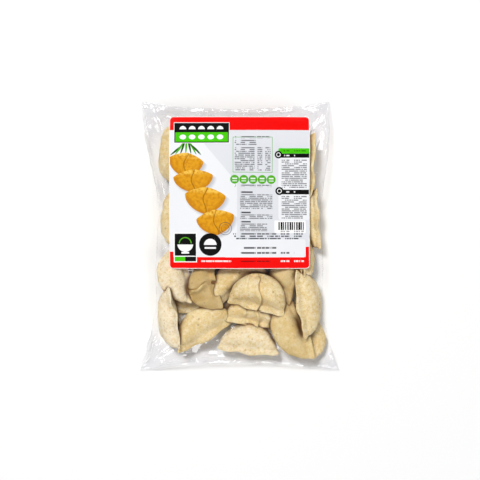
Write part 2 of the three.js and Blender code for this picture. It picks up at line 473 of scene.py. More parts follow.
# %% Shape the film before it shrinks
BAG_LENGTH = (cad_box[1][1] - cad_box[0][1]) / MM
FOOT_WIDTH = (cad_box[1][0] - cad_box[0][0]) / MM
HEAD_WIDTH = 198
HEAD_SHIFT = -4.2
WAIST_WIDTH = 170
END_BOW = 8
SIDE_FOLD_HEIGHT = 17
END_SEAL_HEIGHT = 9
CORNER_DROOP = 5
HEAD_SEAL_BAND = 8
FOOT_SEAL_BAND = 5
FILM_COLUMNS = 70
FILM_ROWS = 96
SPARE_HEIGHT = 6
BACK_DEPTH = 8
BACK_HEIGHT = 0.6
FLAT_LENGTH = 296
FLAT_WIDTH = 210


def mix(a, b, share):
    return a + (b - a) * share


def smooth_step(value, low, high):
    share = min(1, max(0, (value - low) / (high - low)))
    return share * share * (3 - 2 * share)


def half_width(along):
    """Half the bag's width in mm, from its foot at -1 to its head at 1."""
    if along > 0:
        return mix(WAIST_WIDTH / 2, HEAD_WIDTH / 2, smooth_step(along, 0.15, 0.95))
    return mix(WAIST_WIDTH / 2, FOOT_WIDTH / 2, abs(along) ** 2.9)


def middle_line(along):
    """How far the middle of the bag lies to the right, in mm: the head leans to the left."""
    return HEAD_SHIFT * smooth_step(along, 0.6, 1)


def seal_start(along):
    """The share of the bag's half length at which the weld of that end begins."""
    band = HEAD_SEAL_BAND if along > 0 else FOOT_SEAL_BAND
    return 1 - band / (BAG_LENGTH / 2)


def pillow_point(across, along, sheet):
    """A point of the front sheet (1) or the back sheet (-1) before the film shrinks, in mm."""
    bow = END_BOW * (1 - across**2) * abs(along) ** 3
    x = across * half_width(along) + middle_line(along)
    y = along * BAG_LENGTH / 2 - math.copysign(bow, along)
    reach = min(1, abs(along) / seal_start(along))
    full = math.sqrt((1 - reach**7) * (1 - across**4))
    fold = mix(SIDE_FOLD_HEIGHT, END_SEAL_HEIGHT, abs(along) ** 3)
    fold -= CORNER_DROOP * (across * along) ** 4
    if sheet > 0:
        z = fold + (FILL_HEIGHT + SPARE_HEIGHT - fold) * full
    else:
        z = max(BACK_HEIGHT, fold - (fold + BACK_DEPTH) * full)
    return Vector((x, y, z))


bpy.ops.object.select_all(action="DESELECT")
bpy.ops.mesh.primitive_grid_add(
    x_subdivisions=FILM_COLUMNS, y_subdivisions=FILM_ROWS, size=2, location=(0, 0, 1)
)
film = bpy.context.object
film.name = "film"
bpy.ops.object.transform_apply()
bpy.ops.object.mode_set(mode="EDIT")
bpy.ops.mesh.select_all(action="SELECT")
bpy.ops.mesh.duplicate()
bpy.ops.transform.translate(value=(0, 0, -2))
bpy.ops.mesh.flip_normals()
choose(film, "VERT", lambda at: max(abs(at.x), abs(at.y)) * MM > 0.999)
bpy.ops.transform.resize(value=(1, 1, 0), center_override=(0, 0, 0))
bpy.ops.mesh.remove_doubles(threshold=0.001)
bpy.ops.object.mode_set(mode="OBJECT")
plan = [(v.co.x, v.co.y, round(v.co.z)) for v in film.data.vertices]
print("the film has", len(film.data.vertices), "points and", len(film.data.polygons), "faces")

# %% Let the film shrink onto the pile
SHRINK_SCALE = 10
SHRINK_FRAMES = 40
PILE_SKIN = 0.004
PILE_FRICTION = 8
GROUND_SKIN = 0.002
FILM_SKIN = 0.006
CLOTH_SETTINGS = {
    "quality": 7, "mass": 0.2, "tension_stiffness": 40, "compression_stiffness": 40,
    "shear_stiffness": 15, "bending_stiffness": 0.8, "tension_damping": 20,
    "compression_damping": 20, "shear_damping": 15, "air_damping": 4,
}


def gather(scale):
    """The points and faces of all the dumplings together, at a scale."""
    points = []
    faces = []
    for gyoza in pieces:
        first = len(points)
        points += [v.co * scale for v in gyoza.data.vertices]
        faces += [[first + i for i in p.vertices] for p in gyoza.data.polygons]
    return points, faces


def collider(name):
    """One coarse mesh of the pile for the film to rest on, at the scale of the simulation."""
    mesh = bpy.data.meshes.new(name)
    points, faces = gather(SHRINK_SCALE)
    mesh.from_pydata(points, [], faces)
    obstacle = bpy.data.objects.new(name, mesh)
    bpy.context.collection.objects.link(obstacle)
    hold(obstacle)
    bpy.ops.object.modifier_add(type="COLLISION")
    obstacle.collision.thickness_outer = PILE_SKIN
    obstacle.collision.cloth_friction = PILE_FRICTION
    return obstacle


for vertex, (across, along, sheet) in zip(film.data.vertices, plan):
    vertex.co = pillow_point(across, along, sheet) * MM * SHRINK_SCALE
obstacle = collider("pile_obstacle")
bpy.ops.object.select_all(action="DESELECT")
bpy.ops.mesh.primitive_plane_add(size=6)
ground = bpy.context.object
bpy.ops.object.modifier_add(type="COLLISION")
ground.collision.thickness_outer = GROUND_SKIN
hold(film)
bpy.ops.object.shape_key_add(from_mix=False)
bpy.ops.object.shape_key_add(from_mix=False)
flat = film.data.shape_keys.key_blocks[1]
flat.name = "flat"
for point, (across, along, sheet) in zip(flat.data, plan):
    flat_place = Vector((across * FLAT_WIDTH / 2, along * FLAT_LENGTH / 2, 0.5 * sheet))
    point.co = flat_place * MM * SHRINK_SCALE
pins = film.vertex_groups.new(name="welds")
for index, (across, along, sheet) in enumerate(plan):
    if abs(along) > seal_start(along):
        pins.add([index], 1.0, "REPLACE")
bpy.ops.object.modifier_add(type="CLOTH")
cloth = film.modifiers["Cloth"]
for name, value in CLOTH_SETTINGS.items():
    setattr(cloth.settings, name, value)
cloth.settings.vertex_group_mass = "welds"
cloth.settings.rest_shape_key = flat
cloth.settings.effector_weights.gravity = 0
cloth.collision_settings.distance_min = FILM_SKIN
cloth.collision_settings.collision_quality = 3
for step in range(1, SHRINK_FRAMES + 1):
    bpy.context.scene.frame_set(step)
settled = film.evaluated_get(bpy.context.evaluated_depsgraph_get())
shrunk = bpy.data.meshes.new_from_object(settled)
bpy.context.scene.frame_set(1)
film.modifiers.clear()
film.shape_key_clear()
film.data = shrunk
film.data.transform(Matrix.Scale(1 / SHRINK_SCALE, 4))
film.vertex_groups.clear()
for helper in (obstacle, ground):
    bpy.data.objects.remove(helper)
heights = [v.co.z / MM for v in film.data.vertices]
print(f"film from {min(heights):.1f} to {max(heights):.1f} mm high")

# %% [markdown]
# The film settled on coarse dumplings, to be quick. Now they get the finish of hand-made dough:
# Subdivision rounds them, and Displace with cloudy noise in two sizes makes every one uneven.
# Sculpting each by hand would do too, but the noise differs from place to place by itself.

# %% Soften the dough and make every gyoza uneven
SEAT_HEIGHT = 0.8
LUMPS = [
    # size and depth in mm
    (16, 2.4), (6, 0.9),
]
for gyoza in pieces:
    finish_with(gyoza, "SUBSURF", levels=1, render_levels=1)
    for size, depth in LUMPS:
        lumps = bpy.data.textures.new("lumps", "CLOUDS")
        lumps.noise_scale = size * MM
        lumps.noise_depth = 1
        finish_with(
            gyoza,
            "DISPLACE",
            texture=lumps,
            texture_coords="LOCAL",
            strength=depth * MM,
            mid_level=0.5,
        )
    for vertex in gyoza.data.vertices:
        vertex.co.z = max(vertex.co.z, SEAT_HEIGHT * MM)
    hold(gyoza)
    bpy.ops.object.shade_smooth()
print("dough softened on", len(pieces), "gyoza")
pile = BVHTree.FromPolygons(*gather(1))

# %% [markdown]
# Cloth with faces of three millimetres can't hold the sharp creases of handled film, so they
# are added to the finer mesh: folds that fan out of each corner, streaks along the sides and a
# few broad folds at the ends. Noise with its middle folded up has the sharp crests that creases
# have. All of them fade towards the middle of the bag, where the dumplings hold the film tight.

# %% Creases of the empty film
FAN_REACH = 85
FAN_HEIGHT = 1.5
STREAK_HEIGHT = 0.8
FLOOR_GAP = 0.2


def crest(x, y, z):
    """Noise from 0 to 1 with sharp crests."""
    return 1 - min(1, 2 * abs(noise.noise((x, y, z))))


def crease_height(x, y):
    """How far the film's creases stand out at a point of its plan, in mm."""
    along = max(-1, min(1, y / (BAG_LENGTH / 2)))
    x -= middle_line(along)
    corner_x = math.copysign(half_width(math.copysign(1, along)), x)
    corner_y = math.copysign(BAG_LENGTH / 2, y)
    away = math.hypot(corner_x - x, corner_y - y)
    angle = math.atan2(abs(corner_y - y), abs(corner_x - x) + 1e-6)
    corner = (corner_x > 0) + 2 * (corner_y > 0)
    fan = crest(angle * 7, away * 0.012, 7.3 * corner)
    fan *= smooth_step(away, 2, 16) * (1 - smooth_step(away, 0.5 * FAN_REACH, FAN_REACH))
    edge = half_width(along) - abs(x)
    streak = crest(x * 0.2, y * 0.025, 3.1) * (1 - smooth_step(edge, 8, 26))
    end = BAG_LENGTH / 2 - abs(y)
    fold = crest(x * 0.05, y * 0.03, 9.7) * (1 - smooth_step(end, 8, 24))
    return FAN_HEIGHT * fan + STREAK_HEIGHT * (streak + fold)


def crease(piece):
    """Lifts every point of the front sheet by the creases there, and of the back by half."""
    count = len(piece.data.vertices)
    points = np.empty(count * 3)
    normals = np.empty(count * 3)
    piece.data.vertices.foreach_get("co", points)
    piece.data.vertices.foreach_get("normal", normals)
    points = points.reshape(-1, 3)
    normals = normals.reshape(-1, 3)
    height = np.array([crease_height(x / MM, y / MM) * MM for x, y, _ in points])
    front = normals[:, 2] > 0
    points[front] += normals[front] * height[front, None]
    points[~front, 2] += 0.5 * height[~front]
    points[:, 2] = np.maximum(points[:, 2], FLOOR_GAP * MM)
    piece.data.vertices.foreach_set("co", points.ravel())
    piece.data.update()
    print((height > 0.2 * MM).sum(), "film points creased")


# %% [markdown]
# The label is one sheet of coated paper, die-cut with round corners and stuck on the film. A
# plain plane would cut through the dumplings, so a rounded rectangle is cut into small faces,
# laid on the film with Shrinkwrap and smoothed in height, since paper bridges the hollows that
# film falls into. The film under it is then drawn down so that it never shows through.

# %% Cut the label
LABEL_WIDTH = 145
LABEL_HEIGHT = 157.5
LABEL_CORNER = 4
LABEL_CENTRE = (0, 45)
LABEL_FACE = 3
LABEL_START = 80
bpy.ops.object.select_all(action="DESELECT")
bpy.ops.mesh.primitive_plane_add(size=1, location=(0, 0, 0))
label = bpy.context.object
label.name = "label_sheet"
bpy.ops.object.mode_set(mode="EDIT")
bpy.ops.mesh.select_all(action="SELECT")
bpy.ops.transform.resize(value=(LABEL_WIDTH * MM, LABEL_HEIGHT * MM, 1))
bpy.ops.transform.translate(value=(LABEL_CENTRE[0] * MM, LABEL_CENTRE[1] * MM, LABEL_START * MM))
bpy.ops.mesh.bevel(affect="VERTICES", offset=LABEL_CORNER * MM, segments=6)
for axis, span in ((0, LABEL_WIDTH), (1, LABEL_HEIGHT)):
    cuts = round(span / LABEL_FACE)
    for cut in range(1, cuts):
        place = [0, 0, 0]
        place[axis] = (LABEL_CENTRE[axis] + span * (cut / cuts - 0.5)) * MM
        across = [0, 0, 0]
        across[axis] = 1
        bpy.ops.mesh.select_all(action="SELECT")
        bpy.ops.mesh.bisect(plane_co=place, plane_no=across)
bpy.ops.object.mode_set(mode="OBJECT")
print("label cut into", len(label.data.polygons), "faces")

# %% Lay the label on the film
LABEL_THICKNESS = 0.3
LABEL_GAP = 0.4
PAPER_OVER_PILE = 0.9
BRIDGING = 40
EASING = 4
FEELER_CROSS = [(0, 0), (1.5, 0), (-1.5, 0), (0, 1.5), (0, -1.5)]
HIGH_UP = 0.2


def heights_under(surface, point, start):
    """The heights of a surface below a small cross of feelers around a point, in metres."""
    spots = [(point.x + x * MM, point.y + y * MM, start) for x, y in FEELER_CROSS]
    hits = [surface.ray_cast(spot, (0, 0, -1))[0] for spot in spots]
    return [hit.z for hit in hits if hit is not None]


def lift_off_pile(sheet, gap):
    """Raises the points of a sheet that are closer over the dumplings than a gap in mm."""
    raised = 0
    for vertex in sheet.data.vertices:
        heights = [z + gap * MM for z in heights_under(pile, vertex.co, HIGH_UP)]
        if heights and vertex.co.z < max(heights):
            vertex.co.z = max(heights)
            raised += 1
    return raised


finish_with(
    label,
    "SHRINKWRAP",
    target=film,
    wrap_method="PROJECT",
    use_project_z=True,
    use_negative_direction=True,
    use_positive_direction=False,
    offset=LABEL_GAP * MM,
)
lifted = 0
for rounds in (BRIDGING, EASING):
    finish_with(
        label, "SMOOTH", factor=0.5, iterations=rounds, use_x=False, use_y=False, use_z=True
    )
    lifted += lift_off_pile(label, PAPER_OVER_PILE)
print("label lifted off the pile at", lifted, "points")

# %% Sharpen the rim of the bag and crease the film
hold(film)
for is_sharp, sharpen in (
    (lambda across, along, sheet: sheet == 0, bpy.ops.transform.edge_crease),
    (lambda across, along, sheet: abs(across * along) > 0.99, bpy.ops.transform.vert_crease),
):
    choose(film, "VERT", lambda at: False)
    bpy.ops.object.mode_set(mode="OBJECT")
    for vertex, spot in zip(film.data.vertices, plan):
        vertex.select = is_sharp(*spot)
    bpy.ops.object.mode_set(mode="EDIT")
    sharpen(value=1.0)
    bpy.ops.object.mode_set(mode="OBJECT")
finish_with(film, "SUBSURF", levels=1, render_levels=1)
crease(film)

# %% Draw the film down under the label
FRONT_SHEET = 20
SMOOTH_BELOW = math.radians(40)
paper = BVHTree.FromObject(label, bpy.context.evaluated_depsgraph_get())
drawn_down = 0
for vertex in film.data.vertices:
    heights = heights_under(paper, vertex.co, HIGH_UP)
    if heights and vertex.co.z > FRONT_SHEET * MM and vertex.co.z > min(heights) - LABEL_GAP * MM:
        vertex.co.z = min(heights) - LABEL_GAP * MM
        drawn_down += 1
finish_with(label, "SOLIDIFY", thickness=LABEL_THICKNESS * MM, offset=1)
hold(label)
bpy.ops.object.shade_smooth_by_angle(angle=SMOOTH_BELOW)
hold(film)
bpy.ops.object.shade_smooth()
print("label of", len(label.data.polygons), "faces;", drawn_down, "film points drawn down")

# %% [markdown]
# Raw frozen dough is pale yellow, dusted with flour and frost, with small darker flecks. A
# picture of dough would need unwrapping, so noise in the object's own space does the work:
# one slow noise for the yellow, a finer one for the flour, and sparse cells for the flecks.
# The share of frost on each dumpling is an attribute of its own mesh, below zero a painted shade,
# and so is a painted shade where dumplings press together, measured by feelers and then blurred.

# %% Helpers for materials


def new_material(name):
    """A material with an empty node tree and its output."""
    material = bpy.data.materials.new(name)
    material.use_nodes = True
    material.node_tree.nodes.clear()
    return material


class Nodes:
    """Adds nodes to one material and wires them from the values they're given."""

    def __init__(self, material):
        self.tree = material.node_tree

    def add(self, kind, settings=None, **inputs):
        node = self.tree.nodes.new("ShaderNode" + kind)
        for name, value in (settings or {}).items():
            setattr(node, name, value)
        for name, value in inputs.items():
            self.wire(value, node.inputs[name.replace("_", " ")])
        return node

    def wire(self, value, socket):
        if isinstance(value, bpy.types.NodeSocket):
            self.tree.links.new(value, socket)
        else:
            socket.default_value = value

    def math(self, operation, *values, clamp=False):
        node = self.add("Math", {"operation": operation, "use_clamp": clamp})
        for value, socket in zip(values, node.inputs):
            self.wire(value, socket)
        return node.outputs[0]

    def vector(self, operation, *values, output=0):
        node = self.add("VectorMath", {"operation": operation})
        for value, socket in zip(values, node.inputs):
            self.wire(value, socket)
        return node.outputs[output]

    def blend(self, share, a, b):
        node = self.add("Mix", {"data_type": "RGBA"})
        self.wire(share, node.inputs[0])
        self.wire(a, node.inputs[6])
        self.wire(b, node.inputs[7])
        return node.outputs[2]

    def ramp(self, value, low, high):
        node = self.add("MapRange", {"interpolation_type": "SMOOTHSTEP"}, Value=value)
        node.inputs["From Min"].default_value = low
        node.inputs["From Max"].default_value = high
        return node.outputs[0]


def paint(red, green, blue):
    """A linear colour from the 0 to 255 values that a picture shows."""
    values = [channel / 255 for channel in (red, green, blue)]
    linear = [v / 12.92 if v <= 0.04045 else ((v + 0.055) / 1.055) ** 2.4 for v in values]
    return (*linear, 1)


print("helpers ready: new_material, Nodes, paint")

# %% Painted shade where dumplings press together
FEELERS = 10
FEELER_REACH = 18
OWN_FOLD = 0.1
BLUR_ROUNDS = 4


def blurred(mesh, shares):
    """The shares of a mesh's points, each drawn halfway to the mean of its neighbours."""
    ends = np.empty(2 * len(mesh.edges), int)
    mesh.edges.foreach_get("vertices", ends)
    one, other = ends.reshape(-1, 2).T
    count = len(shares)
    joined = np.bincount(ends, minlength=count)
    for _ in range(BLUR_ROUNDS):
        around = np.bincount(one, shares[other], count) + np.bincount(other, shares[one], count)
        shares = 0.5 * (shares + around / joined)
    return shares


def mark_painted_crevice_shade():
    """Paints shade on each point of a dumpling: the share of feelers that meet a neighbour."""
    draw = random.Random(12)
    sizes = [len(gyoza.data.polygons) for gyoza in pieces]
    owners = np.repeat(np.arange(len(pieces)), sizes)
    for number, gyoza in enumerate(pieces):
        shares = []
        for vertex in gyoza.data.vertices:
            start = vertex.co + vertex.normal * 0.4 * MM
            met = 0.0
            for _ in range(FEELERS):
                feeler = Vector([draw.gauss(0, 1) for _ in range(3)]).normalized() + vertex.normal
                reach = FEELER_REACH * MM
                _, _, face, distance = pile.ray_cast(start, feeler.normalized(), reach)
                if distance is not None:
                    weight = OWN_FOLD if owners[face] == number else 1
                    met += weight * (1 - distance / reach)
            shares.append(met / FEELERS)
        shaded = gyoza.data.attributes.new("shaded", "FLOAT", "POINT")
        shaded.data.foreach_set("value", blurred(gyoza.data, np.array(shares)))
    print("bare dough marked on", len(pieces), "gyoza")


mark_painted_crevice_shade()

# %% Colours of the dough
FROST_AND_SHADE = {
    # share of frost, and below zero a painted shade that darkens the whole dumpling
    "gyoza_a": 0.8, "gyoza_b": 0.9, "gyoza_i": 0.6, "gyoza_k": 0.2, "gyoza_d": -0.05,
    "gyoza_j": -0.3, "gyoza_e": -0.9, "gyoza_f": -0.1, "gyoza_l": -0.5, "gyoza_g": 0.05,
}
DARK_DOUGH = paint(227, 198, 134)
LIGHT_DOUGH = paint(239, 216, 162)
FLOUR = paint(250, 240, 220)
GRIT = paint(202, 169, 108)
# the colour of the painted shade on dumplings that lie in shade
SHADOWED_DOUGH = paint(152, 114, 38)
# pale thin dough at the edges, brightened further as a painted highlight
PALE_RIM_AND_HIGHLIGHT = paint(248, 226, 164)
# the colour of the painted shade in the crevices of the pile
CREVICE_SHADE = paint(106, 68, 32)
FLECKS = [
    # size of a cell in mm, radius, share of cells left empty, colour
    (3.0, 0.3, 0.72, paint(168, 128, 64)),
    (7.0, 0.22, 0.8, paint(150, 108, 60)),
]
dough = new_material("dough")
make = Nodes(dough)
place = make.add("TexCoord").outputs["Object"]
slow = make.add("TexNoise", Vector=place, Scale=70.0, Detail=3.0).outputs["Fac"]
patches = make.add("TexNoise", Vector=place, Scale=260.0, Detail=3.0, Roughness=0.6).outputs["Fac"]
fine = make.add("TexNoise", Vector=place, Scale=750.0, Detail=3.0, Roughness=0.7).outputs["Fac"]
frost_and_shade = make.add("Attribute", {"attribute_name": "frost_and_shade"}).outputs["Fac"]
colour = make.blend(make.ramp(slow, 0.35, 0.68), DARK_DOUGH, LIGHT_DOUGH)
dusting = make.math("MULTIPLY_ADD", frost_and_shade, 0.3, patches)
floury = make.math("MULTIPLY", make.ramp(dusting, 0.36, 0.95), 0.75)
colour = make.blend(floury, colour, FLOUR)
gritty = make.math("MULTIPLY_ADD", patches, -0.3, fine)
speckle = make.math("MULTIPLY", make.ramp(gritty, 0.36, 0.52), 0.5)
colour = make.blend(speckle, colour, GRIT)
# Below zero, the frost share paints shade: the whole dumpling darkens towards shadowed dough.
shadowed = make.math("MULTIPLY", make.ramp(frost_and_shade, 0.0, -1.0), 0.42)
colour = make.blend(shadowed, colour, SHADOWED_DOUGH)
# Pointiness pales convex edges: partly the paler thin dough of the lip, partly a painted highlight.
rim_and_highlight = make.ramp(make.add("NewGeometry").outputs["Pointiness"], 0.52, 0.6)
colour = make.blend(make.math("MULTIPLY", rim_and_highlight, 0.5), colour, PALE_RIM_AND_HIGHLIGHT)
# Painted shade: the dough darkens where feelers met a neighbour close by, in the pile's crevices.
shaded = make.add("Attribute", {"attribute_name": "shaded"}).outputs["Fac"]
crevice_shading = make.math("MULTIPLY", make.ramp(shaded, 0.03, 0.5), 0.94)
colour = make.blend(crevice_shading, colour, CREVICE_SHADE)
for size, radius, share, fleck_colour in FLECKS:
    cells = make.add("TexVoronoi", Vector=place, Scale=1 / (size * MM))
    core = make.ramp(cells.outputs["Distance"], radius, 0.3 * radius)
    pick = make.add("SeparateColor", Color=cells.outputs["Color"]).outputs[0]
    fleck = make.math("MULTIPLY", core, make.ramp(pick, share, share + 0.08))
    colour = make.blend(make.math("MULTIPLY", fleck, 0.55), colour, fleck_colour)
print("dough has", len(dough.node_tree.nodes), "nodes of colour")

# %% Finish of the dough
grain = make.add("Bump", Height=fine, Strength=0.35, Distance=0.0012).outputs["Normal"]
shader = make.add("BsdfPrincipled", Base_Color=colour, Normal=grain)
shader.inputs["Roughness"].default_value = 0.75
shader.inputs["Specular IOR Level"].default_value = 0.15
shader.inputs["Subsurface Weight"].default_value = 0.12
shader.inputs["Subsurface Radius"].default_value = (1.0, 0.6, 0.3)
shader.inputs["Subsurface Scale"].default_value = 0.003
make.wire(shader.outputs[0], make.add("OutputMaterial").inputs["Surface"])
draw = random.Random(7)
for gyoza in pieces:
    amount = FROST_AND_SHADE.get(gyoza.name, draw.uniform(0.0, 0.3))
    attribute = gyoza.data.attributes.new("frost_and_shade", "FLOAT", "POINT")
    attribute.data.foreach_set("value", [amount] * len(gyoza.data.vertices))
    gyoza.data.materials.append(dough)
print("dough on", len(pieces), "gyoza")

# %% [markdown]
# Thin clear film mostly lets light through, a little greyer for each layer, and mirrors the
# lamps where it turns away from the eye. Glass would bend what is behind it, as a thick block
# does, so the film is a see-through shader mixed with a glossy one, by how far it turns away.
# Where it hangs free it is crumpled into small flat facets. Cells of a Voronoi pattern give
# each facet a lean of its own, and tight film over the dumplings has none.

# %% Where the film hangs free
TOUCHING = 3
HANGING = 12
OVER_DOUGH = 0.93


def mark_free_film():
    """Gives each point of the film the share to which it is clear of the dumplings."""
    shares = []
    for vertex in film.data.vertices:
        distance = pile.find_nearest(vertex.co)[3] / MM
        over = len(heights_under(pile, vertex.co, vertex.co.z)) / len(FEELER_CROSS)
        shares.append(smooth_step(distance, TOUCHING, HANGING) * (1 - OVER_DOUGH * over))
    free = film.data.attributes.new("free", "FLOAT", "POINT")
    free.data.foreach_set("value", shares)
    print(f"{sum(shares) / len(shares):.0%} of the film hangs free")


mark_free_film()

# %% Clear film
FACET_SIZES = (9, 23)
FACET_LEAN = 0.6
EDGE_WARP = 10
TIGHT_TINT = (0.985, 0.985, 0.985, 1)
FREE_TINT = (0.978, 0.978, 0.986, 1)
MIDDLE = (0.5, 0.5, 0.5)
clear_film = new_material("clear_film")
make = Nodes(clear_film)
free = make.add("Attribute", {"attribute_name": "free"}).outputs["Fac"]
turned_away = make.math("POWER", make.add("LayerWeight", Blend=0.5).outputs["Facing"], 4.0)
head_on = make.math("MULTIPLY_ADD", free, 0.065, 0.003)
edge_on = make.math("MULTIPLY_ADD", free, 0.55, 0.05)
mirror = make.math("MULTIPLY_ADD", turned_away, edge_on, head_on)
tint = make.blend(free, TIGHT_TINT, FREE_TINT)
see_through = make.add("BsdfTransparent", Color=tint).outputs[0]
place = make.add("TexCoord").outputs["Object"]
warp = make.add("TexNoise", Vector=place, Scale=60.0, Detail=1.0).outputs["Color"]
warp = make.vector("SUBTRACT", warp, MIDDLE)
spot = make.vector("MULTIPLY_ADD", warp, [EDGE_WARP * MM] * 3, place)
lean = make.add("NewGeometry").outputs["Normal"]
amount = make.math("MULTIPLY", free, FACET_LEAN)
for size in FACET_SIZES:
    cell = make.add("TexVoronoi", Vector=spot, Scale=1 / (size * MM)).outputs["Color"]
    tilt = make.vector("SUBTRACT", cell, MIDDLE)
    tilt = make.add("VectorMath", {"operation": "SCALE"}, Vector=tilt, Scale=amount).outputs[0]
    lean = make.vector("ADD", lean, tilt)
facets = make.vector("NORMALIZE", lean)
blur = make.math("MULTIPLY_ADD", free, -0.28, 0.35)
gloss = make.add("BsdfGlossy", Roughness=blur, Normal=facets).outputs[0]
both = make.add("MixShader", Fac=mirror)
make.wire(see_through, both.inputs[1])
make.wire(gloss, both.inputs[2])
make.wire(both.outputs[0], make.add("OutputMaterial").inputs["Surface"])
film.data.materials.append(clear_film)
print("clear film on", film.name)

# %% [markdown]
# The print on the label is flat fields of colour and simple shapes. An image would do it in
# one step, but then the print is only as sharp as its pixels and needs a file. Here each field
# is a few nodes that measure the distance to a rectangle, a disc or a dome in millimetres from
# the label's top left corner, and each new ink covers the ones before it, as in a print shop.
# The lines of small print are rows of short dashes, so there is nothing to read.

# %% Inks and printing plates
RED = paint(244, 4, 2)
BLACK = paint(8, 8, 8)
WHITE = paint(250, 250, 250)
GREEN = paint(72, 200, 10)
LEAF = paint(84, 176, 30)
DARK_LEAF = paint(34, 92, 24)
GREY = paint(224, 226, 231)
PALE = paint(238, 239, 242)
SMALL_PRINT = paint(70, 72, 78)
GOLD = paint(226, 160, 28)
BROWNED = paint(188, 112, 12)
SHINE = paint(250, 208, 92)
CRISP = paint(120, 62, 6)
SHADE = paint(160, 162, 170)
EDGE_SHARPNESS = 6.0
plates = []


class Plates(Nodes):
    """A node group that inks one part of the print, in mm from the label's top left corner."""

    def __init__(self, name):
        self.tree = bpy.data.node_groups.new(name, "ShaderNodeTree")
        for way in ("INPUT", "OUTPUT"):
            self.tree.interface.new_socket("Colour", in_out=way, socket_type="NodeSocketColor")
        place = self.add("TexCoord").outputs["Object"]
        flat = self.vector("MULTIPLY", place, (1 / MM, -1 / MM, 0))
        left = LABEL_CENTRE[0] - LABEL_WIDTH / 2
        top = LABEL_CENTRE[1] + LABEL_HEIGHT / 2
        self.paper = self.vector("ADD", flat, (-left, top, 0))
        self.colour = self.tree.nodes.new("NodeGroupInput").outputs[0]
        self.wait_for_ink()

    def wait_for_ink(self):
        """Makes the next mask wait for the ink before it.

        Cycles would otherwise work out every mask before the first ink and run out of room.
        """
        self.register(self.vector("MULTIPLY_ADD", self.colour, (1e-7, 1e-7, 0), self.paper))

    def close(self):
        self.wire(self.colour, self.tree.nodes.new("NodeGroupOutput").inputs[0])
        plates.append(self)
        print("inked", self.tree.name, "with", len(self.tree.nodes), "nodes")

    def register(self, spot):
        """Sets the place that the next plate prints by."""
        self.spot = spot
        apart = self.add("SeparateXYZ", Vector=spot).outputs
        self.right = apart[0]
        self.down = apart[1]

    def edge(self, inside):
        """A mask from a distance in mm that is positive inside a shape."""
        return self.math("MULTIPLY_ADD", inside, EDGE_SHARPNESS, 0.5, clamp=True)

    def field(self, left, top, right, bottom, corner=0.3):
        """A rectangle with round corners."""
        centre = ((left + right) / 2, (top + bottom) / 2, 0)
        core = ((right - left) / 2 - corner, (bottom - top) / 2 - corner, 0)
        off = self.vector("ABSOLUTE", self.vector("SUBTRACT", self.spot, centre))
        past = self.vector("MAXIMUM", self.vector("SUBTRACT", off, core), (0, 0, 0))
        return self.edge(self.math("SUBTRACT", corner, self.vector("LENGTH", past, output=1)))

    def disc(self, x, y, radius):
        away = self.vector("DISTANCE", self.spot, (x, y, 0), output=1)
        return self.edge(self.math("SUBTRACT", radius, away))

    def ring(self, x, y, radius, width):
        away = self.vector("DISTANCE", self.spot, (x, y, 0), output=1)
        off = self.math("ABSOLUTE", self.math("SUBTRACT", away, radius))
        return self.edge(self.math("SUBTRACT", width / 2, off))

    def side(self, x, y, angle):
        """The half of the label on one side of a line, where angle 0 is everything below it."""
        across = (-math.sin(math.radians(angle)), math.cos(math.radians(angle)), 0)
        off = self.vector("SUBTRACT", self.spot, (x, y, 0))
        return self.edge(self.vector("DOT_PRODUCT", off, across, output=1))

    def both(self, a, b):
        return self.math("MULTIPLY", a, b)

    def ink(self, mask, colour, cover=1.0):
        """Covers the print so far."""
        share = mask if cover == 1.0 else self.math("MULTIPLY", mask, cover)
        self.colour = self.blend(share, self.colour, colour)
        self.wait_for_ink()

    def fields(self, *rows):
        """Inks rectangles one over the other, each given as its ink and its edges."""
        for colour, *edges in rows:
            self.ink(self.field(*edges), colour)

    def band(self, half, off):
        """A mask that is 1 where a value is closer to zero than a half width."""
        return self.edge(self.math("SUBTRACT", half, self.math("ABSOLUTE", off)))

    def row_of(self, left, pitch, count):
        """The spot folded so that what is drawn round zero repeats along a row."""
        folded = self.math("WRAP", self.math("SUBTRACT", self.right, left), pitch / 2, -pitch / 2)
        span = self.field(left - pitch / 2, -50, left + pitch * (count - 0.5), 400)
        return folded, span

    def small_print(self, left, top, right, bottom, pitch, colour=SMALL_PRINT, cover=0.8):
        """Rows of dashes of uneven length, like text that is too small to read."""
        row = self.math("DIVIDE", self.math("SUBTRACT", self.down, top), pitch)
        number = self.math("FLOOR", row)
        within = self.math("ABSOLUTE", self.math("SUBTRACT", self.math("FRACT", row), 0.45))
        stripe = self.edge(self.math("MULTIPLY", self.math("SUBTRACT", 0.29, within), pitch))
        grain = []
        for width in (0.62, 4.6):
            column = self.math("FLOOR", self.math("DIVIDE", self.right, width))
            seed = self.add("CombineXYZ", X=column, Y=number, Z=width).outputs[0]
            grain.append(self.add("TexWhiteNoise", Vector=seed).outputs["Value"])
        letter = self.math("GREATER_THAN", grain[0], 0.16)
        word = self.math("GREATER_THAN", grain[1], 0.1)
        dash = self.both(self.both(stripe, letter), word)
        self.ink(self.both(self.field(left, top, right, bottom), dash), colour, cover)

    def moon(self, x, y, half_length, height, tilt):
        """Share of the way, 1 at the rim, from the lip of a half-moon, and the place in it."""
        angle = math.radians(tilt)
        off = self.vector("SUBTRACT", self.spot, (x, y, 0))
        along = self.vector("DOT_PRODUCT", off, (math.cos(angle), math.sin(angle), 0), output=1)
        rise = self.vector("DOT_PRODUCT", off, (-math.sin(angle), math.cos(angle), 0), output=1)
        share = self.math("ABSOLUTE", self.math("DIVIDE", along, half_length))
        side = self.math("POWER", share, 1.4)
        arch = self.math("MULTIPLY_ADD", side, -0.14 * height, rise)
        depth = self.math("ABSOLUTE", self.math("MINIMUM", arch, self.math("MULTIPLY", arch, 4.0)))
        depth = self.math("POWER", self.math("DIVIDE", depth, height), 1.8)
        return self.math("ADD", side, depth), along, rise

